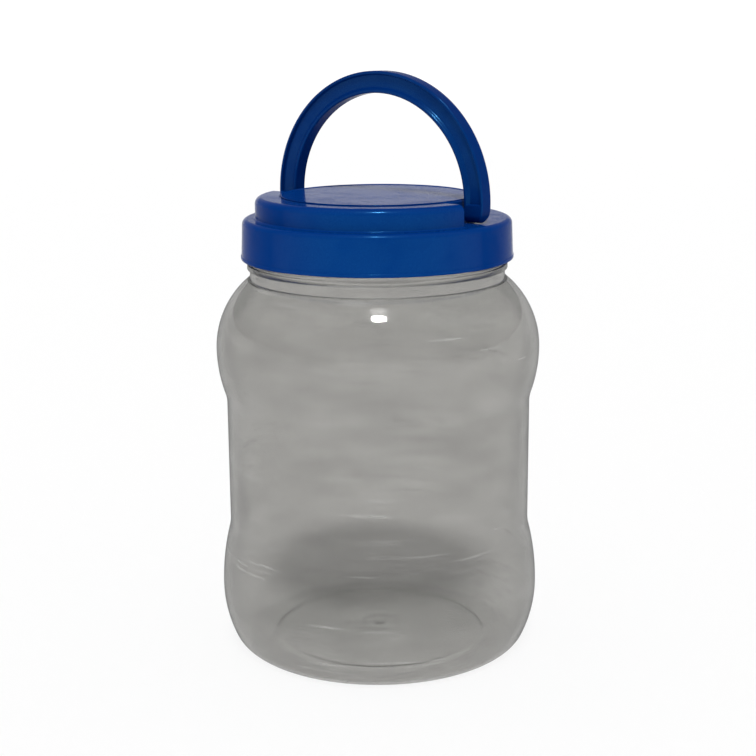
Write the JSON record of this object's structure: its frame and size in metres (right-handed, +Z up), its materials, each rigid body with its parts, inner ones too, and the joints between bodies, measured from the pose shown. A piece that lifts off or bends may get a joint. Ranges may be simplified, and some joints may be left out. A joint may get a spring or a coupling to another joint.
{
  "type": "plastic storage jar",
  "caption": "Clear round plastic storage jar with a blue screw lid, a loose sealing wad and an arched carrying handle that folds down on the lid.",
  "frame": {"origin": "middle of the base, on the jar's axis, at the height of the surface the jar stands on", "axes": "+Z up along the jar's axis; the handle's pivots lie along X; the handle folds down towards +Y, and the wide half of the lid's boss is at -Y"},
  "size_m": [0.154, 0.154, 0.275],
  "materials": {
    "clear_plastic": "glossy, see-through",
    "lid_plastic": "glossy",
    "handle_plastic": "semi-gloss",
    "foam": "matte"
  },
  "bodies": {
    "jar": {"jar_body": "clear_plastic"},
    "wad": {"seal_wad": "foam"},
    "lid": {"screw_lid": "lid_plastic"},
    "handle": {"carry_handle": "handle_plastic"}
  },
  "joints": [
    {"name": "lid_lift", "type": "slide", "parent": "jar", "child": "wad", "axis": [0, 0, 1], "range_m": [0, 0.0241]},
    {"name": "lid_turn", "type": "hinge", "parent": "wad", "child": "lid", "pos_m": [0, 0, 0.2], "axis": [0, 0, 1], "range_deg": [0, 1440]},
    {"name": "handle_fold", "type": "hinge", "parent": "lid", "child": "handle", "pos_m": [0, 0.0032, 0.2119], "axis": [-1, 0, 0], "range_deg": [-50, 90]}
  ],
  "couplings": [
    {"joint": "lid_lift", "follows": "lid_turn", "m_per_rad": 0.00095493}
  ]
}
